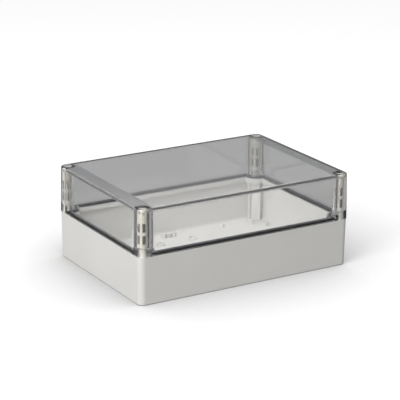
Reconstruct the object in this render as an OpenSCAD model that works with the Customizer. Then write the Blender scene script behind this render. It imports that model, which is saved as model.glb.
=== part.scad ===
// Sealed electronics enclosure: a grey moulded base and a clear cover that swings open at the rear.
// Two quarter-turn screws lock the front corners. The rear pair of corner screws hides the hinge: each
// sits on a stem pinned to an anchor, and the anchors slide up out of the base as the cover turns, so
// that the cover's rear edge rolls clear of the rim.
// Units are millimetres. +X runs along the length, +Y to the hinge side, +Z up. The origin is the
// centre of the footprint on the ground.

/* [Enclosure] */
// Length along X, over the cover's bottom edge
length = 255; // [230:1:300]
// Depth along Y, over the cover's bottom edge
depth = 180; // [165:1:230]
// Height of the base, from the ground up to its rim
base_h = 51.5; // [47:0.5:80]
// Height of the clear cover, from the rim up to its top face
cover_h = 50.5; // [44:0.5:80]
// Radius of the upright corners at the cover's bottom edge
corner_r = 7; // [5:0.5:8.5]

/* [Mouldings] */
// Thickness of the base's walls
base_wall = 3; // [2.4:0.1:4]
// Thickness of the base's floor
floor_t = 3; // [2.5:0.1:4.5]
// How far each side of the base leans in from its rim down to the ground
base_draft = 0.6; // [0.4:0.1:1.6]
// Step from the cover's bottom edge in to the base's rim
rim_step = 0.6; // [0.2:0.1:1.2]
// Radius of the edge round the base's underside
foot_edge_r = 1; // [0.8:0.1:2.4]
// Radius inside the base, between floor and walls
floor_fillet = 4; // [2:0.5:6]
// Thickness of the cover's walls
cover_wall = 3; // [2.4:0.1:3.6]
// Thickness of the cover's top plate
top_t = 3; // [2.4:0.1:4.5]
// How far each side of the cover leans in from its bottom edge up to its top
cover_draft = 0.8; // [0.4:0.1:1.4]
// Radius of the outer edge round the cover's top
top_edge_r = 1.8; // [1:0.1:2.6]
// Radius inside the cover, between top plate and walls
top_fillet = 1.5; // [1:0.5:7]
// Gap between the closed cover and the base's rim
seat_gap = 0.1; // [0.05:0.05:0.3]

/* [Seal] */
// From the cover's bottom edge in to the gasket
seal_inset = 2.8; // [2.4:0.1:3.4]
// Width of the gasket
gasket_w = 3; // [2.4:0.1:3.6]
// Height of the gasket
gasket_h = 2.3; // [1.8:0.1:3]
// Room on each side of the gasket in the cover's groove
gasket_side_gap = 0.1; // [0.05:0.05:0.3]
// Height of the tongue on the base's rim that presses on the gasket
tongue_h = 0.5; // [0.3:0.1:0.8]
// Width of that tongue
tongue_w = 1; // [0.8:0.1:1.4]
// Radius where the gasket turns out of a straight side into its bend round a screw
seal_bend_r = 4; // [3:0.5:5]
// From the axis of a corner screw to the gasket's bend round it
seal_screw_r = 8.6; // [8.4:0.1:9.4]
// Width of the lip on the gasket's inner side, on cover and base
seal_lip = 1.6; // [1.2:0.1:2.2]
// Height of the band along the base's rim that carries the tongue
rim_band_h = 5; // [4:0.5:7]
// Thickness of the cover over the gasket's groove
groove_roof_t = 0.5; // [0.4:0.1:3.5]

/* [Corner screws] */
// From the cover's bottom edge in to a screw's axis, both ways
screw_inset = 8.2; // [8:0.1:9]
// Radius of a screw's barrel
barrel_r = 5.35; // [5:0.05:5.4]
// Room round the barrel in the cover's tower
barrel_gap = 0.35; // [0.2:0.05:0.4]
// Wall of the cover's towers round that bore
cover_tower_wall = 2; // [1.5:0.1:2.2]
// Radius of the upright fillets between those towers and the cover's walls
cover_tower_fillet = 2.5; // [1:0.5:4]
// Thickness of the tower's floor that a barrel presses on
tower_floor_t = 9; // [7:0.5:11]
// From the cover's top face down to a barrel's top
head_drop = 2.5; // [0.4:0.1:3.5]
// Length of the solid head of a barrel
head_h = 13; // [9:0.5:14]
// Thickness of a barrel's wall round its two hollows
barrel_wall = 1.2; // [0.8:0.1:1.6]
// Thickness of the disc between the two hollows
mid_disc_t = 3.5; // [1.4:0.1:5]
// Thickness of the disc at a barrel's foot
foot_disc_t = 3.8; // [1.6:0.1:5]
// Radius of the round core through the hollows
core_r = 2.1; // [1.8:0.1:2.6]
// Number of windows round each hollow
window_count = 6; // [4:1:7]
// Width of a window
window_w = 3; // [2:0.1:3.4]
// Turn of the first window from the box's length, in degrees
window_turn = 20; // [0:5:60]
// Width of the driver slot in a barrel's head
slot_w = 1.6; // [1.2:0.1:2]
// Depth of that slot
slot_depth = 2.5; // [1.5:0.1:3.5]
// Number of notches round a barrel's head
notch_count = 8; // [6:1:10]
// Width of a notch
notch_w = 1.3; // [1:0.1:1.6]
// Height of a notch
notch_h = 2.4; // [1.2:0.1:3]
// Depth of a notch
notch_depth = 0.8; // [0.5:0.1:1.2]
// From a barrel's top down to its notches
notch_drop = 1.4; // [1.2:0.1:2.4]
// Radius of the neck under a barrel
neck_r = 3.4; // [3.2:0.05:3.5]
// Running gap round the neck in the tower's floor, and round every turning or sliding fit
run_gap = 0.1; // [0.05:0.01:0.1]

/* [Front lock] */
// From the rim down to the top of the bayonet tip
tip_drop = 3.5; // [3:0.1:4]
// Length of the bayonet tip
tip_h = 8.5; // [7:0.1:9.5]
// Length of the tapered lead at the tip's end
tip_lead_h = 2; // [1:0.1:3]
// Radius of the spigot on the neck that carries the tip
spigot_r = 2.2; // [1.9:0.05:2.4]
// Height of the two lugs on the tip
lug_h = 3; // [2.4:0.1:3.6]
// Width of a lug
lug_w = 2.4; // [2:0.1:2.8]
// Radius over the lugs
lug_r = 4.8; // [4.6:0.05:4.85]
// Height of the catch bush, the shoulder that the lugs turn under
catch_bush_h = 4.5; // [4.2:0.1:5]
// Room under the catch bush before the lugs touch it
lug_gap = 0.3; // [0.2:0.05:0.5]
// Room on each side of a lug in the bush's keyway
keyway_gap = 0.5; // [0.4:0.05:0.7]

/* [Hinge] */
// From the rim down to the axis of the hinge pins
pin_drop = 3; // [2.8:0.1:3.2]
// Radius of a hinge pin
pin_r = 1; // [0.8:0.05:1.1]
// Radius of the anchor's shaft
anchor_r = 3.8; // [3.7:0.05:3.85]
// Radius of the ears and of the stem's eye round the pin
ear_r = 2.7; // [2.4:0.05:2.75]
// Thickness of the stem's eye between the ears
eye_t = 2.4; // [2:0.1:2.6]
// Radius of the flange at the anchor's foot that stops the lift
flange_r = 4.9; // [4.6:0.05:4.95]
// Thickness of that flange
flange_h = 5; // [3:0.5:6]
// Largest opening angle of the cover, in degrees
open_angle = 110; // [90:1:110]
// How much more the anchors lift for each radian of opening than the rear edge needs to roll
lift_spare = 0.4; // [0.3:0.1:0.8]
// Height of the guide bush pressed into the top of a rear tower
guide_bush_h = 6; // [5:0.5:7]
// Radius of the stem's collar in the tower's floor
collar_r = 4.6; // [4.2:0.1:5]
// Thickness of that collar
collar_h = 2; // [1.5:0.1:2.5]
// Radius of the stem's journal in the barrel
journal_r = 2.1; // [1.8:0.05:2.3]
// Length of that journal
journal_h = 13; // [10:0.5:16]
// Height of the snap bead round the journal's top
bead_h = 1.2; // [0.8:0.1:1.6]
// How far the bead stands out of the journal
bead_out = 0.3; // [0.2:0.05:0.4]

/* [Base towers and floor] */
// Wall of the base's towers round their bushes
base_tower_wall = 1.8; // [1.4:0.1:2.2]
// Outer radius of every bush
bush_r = 5.6; // [5.5:0.05:5.8]
// Radius of the straight channel in a base tower
channel_r = 5; // [4.9:0.05:5.1]
// Thickness of the floor under a channel, where the wall screw's head sits
channel_floor_t = 6; // [4.5:0.5:8]
// Radius of the hole for a wall screw
wall_hole_r = 2.4; // [2:0.1:2.8]
// Depth of the countersink round a wall hole
countersink_h = 1.8; // [1:0.1:2.4]
// Thickness of the upright ribs beside each tower
tower_rib_t = 1.6; // [1.2:0.1:2.2]
// Spacing of the mounting-plate posts along X
plate_post_dx = 212; // [180:1:214]
// Spacing of the mounting-plate posts along Y
plate_post_dy = 142; // [116:1:145]
// Spacing of the side posts along X
side_post_dx = 230; // [210:1:232]
// Spacing of the side posts along Y
side_post_dy = 110; // [80:1:114]
// Radius of a post
post_r = 2.6; // [2.4:0.1:4.2]
// Height of a post above the floor
post_h = 5; // [4:0.5:14]
// Radius of the pilot hole in a post
pilot_r = 1.3; // [1:0.1:1.8]
// Depth of the pilot hole in a post
pilot_depth = 4; // [3:0.5:7]
// Spacing of the rear and front rows of low bosses along Y
boss_dy = 150; // [138:1:152]
// Spacing of the outer low bosses along X
outer_boss_dx = 140; // [110:1:150]
// Spacing along X of the low bosses beside the middle ones
middle_boss_dx = 13.4; // [12:0.1:20]
// Spacing along X of the ring bosses
ring_boss_dx = 41; // [30:1:60]
// Spacing along Y of the ring bosses
ring_boss_dy = 114; // [90:1:120]
// Radius of a low boss
boss_r = 2.6; // [2:0.1:3]
// Height of a low boss above the floor
boss_h = 3; // [1.5:0.1:3]
// Outer radius of a ring boss
ring_boss_r = 4.8; // [3.5:0.1:6]
// Wall of a ring boss
ring_boss_wall = 1.2; // [0.8:0.1:2]
// Height of a ring boss above the floor
ring_boss_h = 1.5; // [1:0.1:3]

/* [Hidden] */

$fn = 64;
// Facets of the mouldings' rounded corners
corner_fn = 40;
// Angle step along a rounded edge
edge_step = 30;
// Thickness of the slices that a lofted body is drawn through
slice = 0.01;
// Overlap of a cut past the face that it opens
over = 1;

left = -1;
right = 1;

top_z = base_h + cover_h;
cover_z = base_h + seat_gap;
screw_x = length / 2 - screw_inset;
screw_y = depth / 2 - screw_inset;

// Stack of heights inside the cover
gasket_z = base_h + tongue_h + seat_gap;
groove_top_z = gasket_z + gasket_h;
cover_band_h = groove_top_z + groove_roof_t - cover_z;
tower_floor_z = base_h + tower_floor_t;
barrel_z = tower_floor_z + run_gap;
barrel_top_z = top_z - head_drop;

// Barrel: the hollows fill what the head and the two discs leave
barrel_h = barrel_top_z - barrel_z;
hollow_h = (barrel_h - head_h - mid_disc_t - foot_disc_t) / 2;
barrel_bore_r = barrel_r + barrel_gap;
neck_bore_r = neck_r + run_gap;
cover_tower_r = barrel_bore_r + cover_tower_wall;
base_tower_r = bush_r + base_tower_wall;
bush_bore_r = anchor_r + run_gap;

// Front lock
tip_top_z = base_h - tip_drop;
tip_z = tip_top_z - tip_h;
lug_top_z = base_h - catch_bush_h - lug_gap;
keyway_r = lug_r + run_gap;

// Hinge: each radian of opening rolls the cover's rear edge over the rim by the pin's inset
pin_y = screw_y;
pin_z = base_h - pin_drop;
lift_per_radian = screw_inset + lift_spare;
lift = lift_per_radian * open_angle * PI / 180;
flange_top_z = base_h - guide_bush_h - lift - lug_gap;
anchor_z = flange_top_z - flange_h;
fork_gap = eye_t + 2 * run_gap;
// The blade's corner turns round the pin at this radius
blade_swing_r = norm([ear_r, pin_drop + seat_gap]);
journal_bore_r = journal_r + run_gap;
barrel_boss_r = journal_bore_r + bead_out + 1;

post_seats = [[plate_post_dx, plate_post_dy], [side_post_dx, side_post_dy]];
boss_seats = [[outer_boss_dx, boss_dy], [middle_boss_dx, boss_dy], [0, boss_dy]];

// ---- shared outlines and placing ----

// Rectangle about the origin with round corners.
module rounded_rect(x, y, r) {
    square([x - 2 * r, y], center = true);
    square([x, y - 2 * r], center = true);
    at_corners([x - 2 * r, y - 2 * r]) circle(r = r);
}

// Children at the four corners of a rectangle of the given spacings.
module at_corners(spacing) {
    for (sx = [-1, 1], sy = [-1, 1])
        translate([sx * spacing.x / 2, sy * spacing.y / 2])
            children();
}

module at_screws() {
    at_corners([2 * screw_x, 2 * screw_y]) children();
}

module at_front(side) {
    translate([side * screw_x, -screw_y, 0]) children();
}

module at_rear(side) {
    translate([side * screw_x, screw_y, 0]) children();
}

// Closed body lofted through levels, each a height and an inset from the cover's bottom edge.
module lofted_box(levels) {
    last_z = levels[len(levels) - 1][0];
    hull()
        for (level = levels)
            translate([0, 0, level[0] - (level[0] == last_z ? slice : 0)])
                linear_extrude(slice)
                    rounded_rect(length - 2 * level[1], depth - 2 * level[1],
                                 max(corner_r - level[1], 1.5), $fn = corner_fn);
}

// What lies inside the gasket's outer edge, grown by the given amount.
module seal_outline(grow) {
    offset(r = grow)
        offset(r = seal_bend_r)
            offset(r = -seal_bend_r)
                difference() {
                    rounded_rect(length - 2 * seal_inset, depth - 2 * seal_inset, corner_r);
                    at_screws() circle(r = seal_screw_r);
                }
}

// Closed band along the gasket's route, between two distances in from its outer edge.
module seal_band(from, to) {
    difference() {
        seal_outline(-from);
        seal_outline(-to);
    }
}

// Solid corner block from a screw's axis out to the corner, with a round tower about the axis.
module corner_tower(r, h) {
    linear_extrude(h) {
        circle(r = r);
        square(2 * screw_inset);
    }
}

// Children at each screw, mirrored so that +X and +Y point out of the box there.
module at_screws_outward() {
    for (sx = [-1, 1], sy = [-1, 1])
        translate([sx * screw_x, sy * screw_y])
            mirror([sx < 0 ? 1 : 0, 0])
                mirror([0, sy < 0 ? 1 : 0])
                    children();
}

// ---- base ----

module base_body() {
    base_foot = rim_step + base_draft;
    lofted_box(concat(
        [for (a = [0:edge_step:90])
            [foot_edge_r * (1 - cos(a)), base_foot + foot_edge_r * (1 - sin(a))]],
        [[base_h, rim_step]]));
}

module base_hollow() {
    inner_foot = rim_step + base_draft + base_wall;
    lofted_box(concat(
        [for (a = [0:edge_step:90])
            [floor_t + floor_fillet * (1 - cos(a)), inner_foot + floor_fillet * (1 - sin(a))]],
        [[base_h + over, rim_step + base_wall]]));
}

// Two upright ribs beside a tower, one to each wall.
module tower_ribs(r, h) {
    reach = 2 * screw_inset;
    translate([-r - tower_rib_t / 2, -tower_rib_t])
        cube([tower_rib_t, reach, h]);
    translate([-tower_rib_t, -r - tower_rib_t / 2])
        cube([reach, tower_rib_t, h]);
}

module base_shell() {
    color("gainsboro")
        difference() {
            union() {
                difference() {
                    base_body();
                    difference() {
                        base_hollow();
                        translate([0, 0, base_h - rim_band_h])
                            linear_extrude(rim_band_h)
                                difference() {
                                    square([length, depth], center = true);
                                    seal_outline(-gasket_w - seal_lip);
                                }
                        at_screws_outward() {
                            corner_tower(base_tower_r, base_h);
                            tower_ribs(base_tower_r, base_h);
                        }
                        for (seat = post_seats)
                            at_corners(seat) cylinder(r = post_r, h = floor_t + post_h);
                        for (seat = boss_seats)
                            at_corners(seat) cylinder(r = boss_r, h = floor_t + boss_h);
                        at_corners([ring_boss_dx, ring_boss_dy])
                            linear_extrude(floor_t + ring_boss_h)
                                difference() {
                                    circle(r = ring_boss_r);
                                    circle(r = ring_boss_r - ring_boss_wall);
                                }
                    }
                }
                translate([0, 0, base_h - over])
                    linear_extrude(over + tongue_h)
                        seal_band((gasket_w - tongue_w) / 2, (gasket_w + tongue_w) / 2);
            }
            at_screws() {
                translate([0, 0, channel_floor_t])
                    cylinder(r = channel_r, h = base_h);
                translate([0, 0, -over])
                    cylinder(r = wall_hole_r, h = channel_floor_t + 2 * over);
                translate([0, 0, channel_floor_t - countersink_h])
                    cylinder(r1 = wall_hole_r, r2 = wall_hole_r + countersink_h, h = countersink_h + slice);
            }
            for (side = [left, right]) {
                at_front(side)
                    translate([0, 0, base_h - catch_bush_h]) cylinder(r = bush_r, h = catch_bush_h + over);
                at_rear(side)
                    translate([0, 0, base_h - guide_bush_h]) cylinder(r = bush_r, h = guide_bush_h + over);
            }
            for (seat = post_seats)
                at_corners(seat)
                    translate([0, 0, floor_t + post_h - pilot_depth])
                        cylinder(r = pilot_r, h = pilot_depth + over);
        }
}

// ---- cover ----

module cover_body() {
    lofted_box(concat(
        [[cover_z, 0]],
        [for (a = [0:edge_step:90])
            [top_z - top_edge_r * (1 - sin(a)), cover_draft + top_edge_r * (1 - cos(a))]]));
}

module cover_hollow() {
    ceiling_z = top_z - top_t;
    lofted_box(concat(
        [[cover_z - over, cover_wall]],
        [for (a = [0:edge_step / 2:90])
            [ceiling_z - top_fillet * (1 - sin(a)), cover_wall + cover_draft + top_fillet * (1 - cos(a))]]));
}

// Upright fillets between a cover tower and the two walls beside it.
module tower_fillets(h) {
    wall = screw_inset - cover_wall - cover_draft / 2;
    reach = cover_tower_r + cover_tower_fillet;
    across = wall - cover_tower_fillet;
    along = -sqrt(reach * reach - across * across);
    for (flip = [0, 1])
        mirror([flip, -flip, 0])
            linear_extrude(h)
                difference() {
                    polygon([[0, 0], [0, screw_inset], [along, screw_inset], [along, across]]);
                    translate([along, across]) circle(r = cover_tower_fillet);
                }
}

module cover_shell() {
    color("lightsteelblue", 0.35)
        difference() {
            cover_body();
            difference() {
                cover_hollow();
                translate([0, 0, cover_z - 2 * over])
                    linear_extrude(cover_band_h + 2 * over)
                        difference() {
                            square([length, depth], center = true);
                            seal_outline(-gasket_w - seal_lip);
                        }
                at_screws_outward() {
                    corner_tower(cover_tower_r, top_z);
                    tower_fillets(top_z);
                }
            }
            translate([0, 0, cover_z - over])
                linear_extrude(groove_top_z - cover_z + over)
                    seal_band(-gasket_side_gap, gasket_w + gasket_side_gap);
            at_screws() {
                translate([0, 0, tower_floor_z]) cylinder(r = barrel_bore_r, h = cover_h);
                translate([0, 0, cover_z - over]) cylinder(r = neck_bore_r, h = tower_floor_t + 2 * over);
            }
            for (side = [left, right])
                at_rear(side)
                    translate([0, 0, tower_floor_z - collar_h - run_gap])
                        cylinder(r = collar_r + run_gap, h = collar_h + over);
        }
}

module gasket() {
    color("dimgray")
        translate([0, 0, gasket_z])
            linear_extrude(gasket_h)
                seal_band(0, gasket_w);
}

// ---- corner screws ----

// Hollow round the core, with the windows that open into it.
module hollow_outline() {
    difference() {
        union() {
            circle(r = barrel_r - barrel_wall);
            for (i = [0:window_count - 1])
                rotate(window_turn + i * 360 / window_count)
                    translate([0, -window_w / 2])
                        square([barrel_r + over, window_w]);
        }
        circle(r = core_r);
    }
}

// Barrel of a corner screw: foot disc, hollow, disc, hollow, and the solid head with its notches.
module barrel() {
    difference() {
        translate([0, 0, barrel_z]) cylinder(r = barrel_r, h = barrel_h);
        for (z = [foot_disc_t, foot_disc_t + hollow_h + mid_disc_t])
            translate([0, 0, barrel_z + z])
                linear_extrude(hollow_h)
                    hollow_outline();
        translate([-barrel_r - over, -slot_w / 2, barrel_top_z - slot_depth])
            cube([2 * (barrel_r + over), slot_w, slot_depth + over]);
        for (i = [0:notch_count - 1])
            rotate((i + 0.5) * 360 / notch_count)
                translate([barrel_r - notch_depth, -notch_w / 2, barrel_top_z - notch_drop - notch_h])
                    cube([notch_depth + over, notch_w, notch_h]);
    }
}

// Front screw: the barrel and its neck down to the spigot for the bayonet tip.
module cover_screw() {
    barrel();
    translate([0, 0, tip_top_z]) cylinder(r = neck_r, h = barrel_z - tip_top_z);
    translate([0, 0, tip_z + tip_lead_h]) cylinder(r = spigot_r, h = tip_h - tip_lead_h);
}

// Bayonet tip: a cap on the spigot with two lugs and a tapered lead.
module bayonet_tip() {
    difference() {
        union() {
            translate([0, 0, tip_z]) cylinder(r1 = neck_r - tip_lead_h / 2, r2 = neck_r, h = tip_lead_h);
            translate([0, 0, tip_z + tip_lead_h]) cylinder(r = neck_r, h = tip_h - tip_lead_h);
            translate([0, 0, lug_top_z - lug_h])
                intersection() {
                    cylinder(r = lug_r, h = lug_h);
                    translate([-lug_r, -lug_w / 2, 0]) cube([2 * lug_r, lug_w, lug_h]);
                }
        }
        translate([0, 0, tip_z + tip_lead_h]) cylinder(r = spigot_r, h = tip_h);
    }
}

// Catch bush: a ring in the top of a front tower with two keyways for the lugs.
module catch_bush() {
    keyway_w = lug_w + 2 * keyway_gap;
    translate([0, 0, base_h - catch_bush_h])
        difference() {
            cylinder(r = bush_r, h = catch_bush_h);
            translate([0, 0, -over]) {
                cylinder(r = bush_bore_r, h = catch_bush_h + 2 * over);
                intersection() {
                    cylinder(r = keyway_r, h = catch_bush_h + 2 * over);
                    translate([-bush_r, -keyway_w / 2, 0])
                        cube([2 * bush_r, keyway_w, catch_bush_h + 2 * over]);
                }
            }
        }
}

module front_left_cover_screw() { color("ivory") at_front(left) cover_screw(); }
module front_right_cover_screw() { color("ivory") at_front(right) cover_screw(); }
module front_left_bayonet_tip() { color("goldenrod") at_front(left) bayonet_tip(); }
module front_right_bayonet_tip() { color("goldenrod") at_front(right) bayonet_tip(); }
module front_left_catch_bush() { color("wheat") at_front(left) catch_bush(); }
module front_right_catch_bush() { color("wheat") at_front(right) catch_bush(); }

// ---- hinge in the rear corners ----

// Turns a Y-Z outline into a plate of the given thickness about the pin's plane.
module plate_about_pin(t) {
    translate([-t / 2, 0, pin_z])
        rotate([90, 0, 90])
            linear_extrude(t)
                children();
}

// Barrel of a rear screw: bored to turn on the stem's journal, with a groove for its snap bead.
module rear_barrel() {
    difference() {
        union() {
            barrel();
            translate([0, 0, barrel_z]) cylinder(r = barrel_boss_r, h = journal_h + bead_h + 2);
        }
        translate([0, 0, barrel_z - over])
            cylinder(r = journal_bore_r, h = journal_h + over + run_gap);
        translate([0, 0, barrel_z + journal_h - bead_h - run_gap])
            cylinder(r = journal_bore_r + bead_out, h = bead_h + 2 * run_gap);
    }
}

// Hinge stem: snap journal, collar in the tower's floor, neck, and the eye that the pin goes through.
module hinge_stem() {
    difference() {
        union() {
            translate([0, 0, tower_floor_z]) cylinder(r = journal_r, h = journal_h + run_gap);
            translate([0, 0, barrel_z + journal_h - bead_h])
                cylinder(r = journal_r + bead_out, h = bead_h);
            translate([0, 0, tower_floor_z - collar_h]) cylinder(r = collar_r, h = collar_h);
            translate([0, 0, cover_z]) cylinder(r = neck_r, h = tower_floor_t - seat_gap);
            plate_about_pin(eye_t) {
                circle(r = ear_r);
                translate([-ear_r, 0]) square([2 * ear_r, pin_drop + 2 * seat_gap]);
            }
        }
        translate([-eye_t, 0, pin_z])
            rotate([0, 90, 0])
                cylinder(r = pin_r + run_gap / 2, h = 2 * eye_t);
    }
}

// Hinge pin, pressed into the anchor's ears.
module hinge_pin() {
    reach = sqrt(anchor_r * anchor_r - pin_r * pin_r) - run_gap;
    translate([-reach, 0, pin_z])
        rotate([0, 90, 0])
            cylinder(r = pin_r, h = 2 * reach);
}

// What the swinging cover sweeps behind the pin when it is fully open, with the anchor's relief for it.
module anchor_relief() {
    relief = 0.3;
    lean = open_angle - 90;
    near = pin_drop - relief;
    deep = screw_inset + 2 * relief;
    far = 2 * anchor_r;
    polygon([
        [ear_r, far], [far, far],
        [far, -deep - far * sin(lean) - relief],
        [near * cos(lean) - deep * sin(lean), -deep * cos(lean) - near * sin(lean) - relief],
        [ear_r, -(near - ear_r * cos(lean)) / max(sin(lean), 0.05)],
    ]);
}

// Hinge anchor: fork, shaft with the relief for the open cover, and the flange that stops the lift.
module hinge_anchor() {
    difference() {
        union() {
            intersection() {
                translate([0, 0, anchor_z]) cylinder(r = anchor_r, h = pin_z + ear_r - anchor_z);
                plate_about_pin(2 * anchor_r) {
                    circle(r = ear_r);
                    translate([-anchor_r, anchor_z - pin_z]) square([2 * anchor_r, pin_z - anchor_z]);
                }
            }
            translate([0, 0, anchor_z]) cylinder(r = flange_r, h = flange_h);
        }
        plate_about_pin(4 * anchor_r) anchor_relief();
        plate_about_pin(fork_gap)
            translate([-2 * anchor_r, -blade_swing_r - run_gap])
                square([4 * anchor_r, 2 * blade_swing_r + over]);
        hinge_pin();
    }
}

// Guide bush: a plain ring that the anchor slides in and that stops its flange.
module guide_bush() {
    translate([0, 0, base_h - guide_bush_h])
        difference() {
            cylinder(r = bush_r, h = guide_bush_h);
            translate([0, 0, -over]) cylinder(r = bush_bore_r, h = guide_bush_h + 2 * over);
        }
}

module rear_left_screw_barrel() { color("ivory") at_rear(left) rear_barrel(); }
module rear_right_screw_barrel() { color("ivory") at_rear(right) rear_barrel(); }
module rear_left_hinge_stem() { color("linen") at_rear(left) hinge_stem(); }
module rear_right_hinge_stem() { color("linen") at_rear(right) hinge_stem(); }
module rear_left_hinge_pin() { color("silver") at_rear(left) hinge_pin(); }
module rear_right_hinge_pin() { color("silver") at_rear(right) hinge_pin(); }
module rear_left_hinge_anchor() { color("wheat") at_rear(left) hinge_anchor(); }
module rear_right_hinge_anchor() { color("wheat") at_rear(right) hinge_anchor(); }
module rear_left_guide_bush() { color("tan") at_rear(left) guide_bush(); }
module rear_right_guide_bush() { color("tan") at_rear(right) guide_bush(); }

base_shell();
cover_shell();
gasket();
front_left_cover_screw();
front_right_cover_screw();
front_left_bayonet_tip();
front_right_bayonet_tip();
front_left_catch_bush();
front_right_catch_bush();
rear_left_screw_barrel();
rear_right_screw_barrel();
rear_left_hinge_stem();
rear_right_hinge_stem();
rear_left_hinge_pin();
rear_right_hinge_pin();
rear_left_hinge_anchor();
rear_right_hinge_anchor();
rear_left_guide_bush();
rear_right_guide_bush();
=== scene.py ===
"""Sealed electronics enclosure: a grey moulded base and a clear cover hinged in its rear corners.

The solids of the frame give every place. New pieces are modelled in millimetres and are scaled to metres
when they are finished, so that each one keeps its place in its mesh.
"""

import logging
import math
from dataclasses import dataclass, field
from enum import Enum, IntEnum

import bmesh
import bpy
from bmesh.types import BMEdge, BMesh, BMVert
from bpy.types import Material, Node, NodeSocket, Object, World
from mathutils import Matrix, Vector


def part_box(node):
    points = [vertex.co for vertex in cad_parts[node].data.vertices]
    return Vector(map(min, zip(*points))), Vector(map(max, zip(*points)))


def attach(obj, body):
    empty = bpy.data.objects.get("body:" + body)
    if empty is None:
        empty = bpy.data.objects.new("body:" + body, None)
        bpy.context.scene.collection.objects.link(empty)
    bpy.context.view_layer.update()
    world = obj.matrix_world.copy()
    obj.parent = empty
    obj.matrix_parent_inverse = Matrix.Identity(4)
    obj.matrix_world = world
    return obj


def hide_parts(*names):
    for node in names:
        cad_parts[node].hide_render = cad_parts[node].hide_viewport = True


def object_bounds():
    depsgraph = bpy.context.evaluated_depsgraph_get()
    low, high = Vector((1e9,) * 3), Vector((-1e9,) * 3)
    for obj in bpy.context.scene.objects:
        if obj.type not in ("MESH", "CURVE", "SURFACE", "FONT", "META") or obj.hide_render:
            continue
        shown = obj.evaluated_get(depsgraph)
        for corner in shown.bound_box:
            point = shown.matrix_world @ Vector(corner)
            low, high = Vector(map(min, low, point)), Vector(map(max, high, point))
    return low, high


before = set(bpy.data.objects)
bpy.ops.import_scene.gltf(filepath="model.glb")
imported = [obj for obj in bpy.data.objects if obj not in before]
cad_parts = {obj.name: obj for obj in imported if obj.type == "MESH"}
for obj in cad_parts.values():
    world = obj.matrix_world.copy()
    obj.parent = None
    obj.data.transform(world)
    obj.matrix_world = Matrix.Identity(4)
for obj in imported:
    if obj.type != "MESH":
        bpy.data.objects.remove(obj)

LOG = logging.getLogger("enclosure")
CAD_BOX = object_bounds()
MM = 0.001
# How far, at least, a cutting tool runs past the surface that it opens, in millimetres.
PAST = 1.0
# How far two shapes reach into each other where they join, in millimetres.
LAP = 0.5
# Places that are closer than this count as one, in millimetres.
TOUCH = 0.001
# Place in plan of a screw's axis while the screw is carved.
AXIS = (0.0, 0.0)


class Corner(Enum):
    """The four corners of the box, each with the signs of its X and Y."""

    FRONT_LEFT = (-1, -1)
    FRONT_RIGHT = (1, -1)
    REAR_LEFT = (-1, 1)
    REAR_RIGHT = (1, 1)

    @property
    def label(self) -> str:
        """Name of the corner as the nodes spell it."""
        return self.name.lower()

    @property
    def is_front(self) -> bool:
        """Whether the corner lies on the side that lifts."""
        return self.value[1] < 0


class Carve(Enum):
    """What a tool does to a solid."""

    ADD = "UNION"
    CUT = "DIFFERENCE"
    KEEP = "INTERSECT"


class Faces(IntEnum):
    """Faces round a rod, the more the nearer its outline is seen."""

    BEAD = 24
    BOSS = 32
    POST = 40
    RING = 48
    PLAIN = 64
    TOWER = 80
    BARREL = 96


# ---- shapes -------------------------------------------------------------------------------------------


def box_mm(node: str) -> tuple[Vector, Vector]:
    """Measure a solid of the frame.

    Args:
        node: Name of the solid.

    Returns:
        Its lowest and highest corner, in millimetres.
    """
    low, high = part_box(node)
    return low / MM, high / MM


def bevel_edges(bm: BMesh, edges: list[BMEdge], radius: float, segments: int) -> None:
    """Round edges.

    Args:
        bm: Mesh that holds the edges.
        edges: Edges to round.
        radius: Radius of the rounding.
        segments: Faces across the rounding.
    """
    bmesh.ops.bevel(bm, geom=edges, offset=radius, offset_type="OFFSET", affect="EDGES",
                    segments=segments, profile=0.5, material=-1)


def add_block(bm: BMesh, low: tuple[float, float, float], high: tuple[float, float, float],
              turn: float = 0.0) -> list[BMVert]:
    """Add a plain block.

    Args:
        bm: Mesh that receives the block.
        low: Lowest corner before the turn.
        high: Highest corner before the turn.
        turn: Angle about the origin's upright axis.

    Returns:
        The block's vertices.
    """
    start, end = Vector(low), Vector(high)
    place = (Matrix.Rotation(turn, 4, "Z") @ Matrix.Translation((start + end) / 2)
             @ Matrix.Diagonal((*(end - start), 1.0)))
    return bmesh.ops.create_cube(bm, size=1.0, matrix=place)["verts"]


def add_rod(bm: BMesh, centre: tuple[float, float], radius: float, low_z: float, high_z: float,
            high_radius: float | None = None, segments: int = Faces.PLAIN) -> list[BMVert]:
    """Add an upright cylinder, or a cone when the two radii differ.

    Args:
        bm: Mesh that receives the rod.
        centre: Place of its axis in plan.
        radius: Radius at its low end.
        low_z: Height of its low end.
        high_z: Height of its high end.
        high_radius: Radius at its high end, or None for a cylinder.
        segments: Faces round it.

    Returns:
        The rod's vertices.
    """
    place = Matrix.Translation((centre[0], centre[1], (low_z + high_z) / 2))
    made = bmesh.ops.create_cone(bm, cap_ends=True, cap_tris=False, segments=segments, radius1=radius,
                                 radius2=radius if high_radius is None else high_radius,
                                 depth=high_z - low_z, matrix=place)
    return made["verts"]


def add_prism(bm: BMesh, outline: list[tuple[float, float]], low_z: float, high_z: float) -> None:
    """Add an upright prism.

    Args:
        bm: Mesh that receives it.
        outline: Its corners in plan, in order.
        low_z: Height of its foot.
        high_z: Height of its top.
    """
    face = bm.faces.new([bm.verts.new((x, y, low_z)) for x, y in outline])
    raised = bmesh.ops.extrude_face_region(bm, geom=[face])["geom"]
    tops = [g for g in raised if isinstance(g, BMVert)]
    bmesh.ops.translate(bm, verts=tops, vec=(0.0, 0.0, high_z - low_z))


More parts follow.
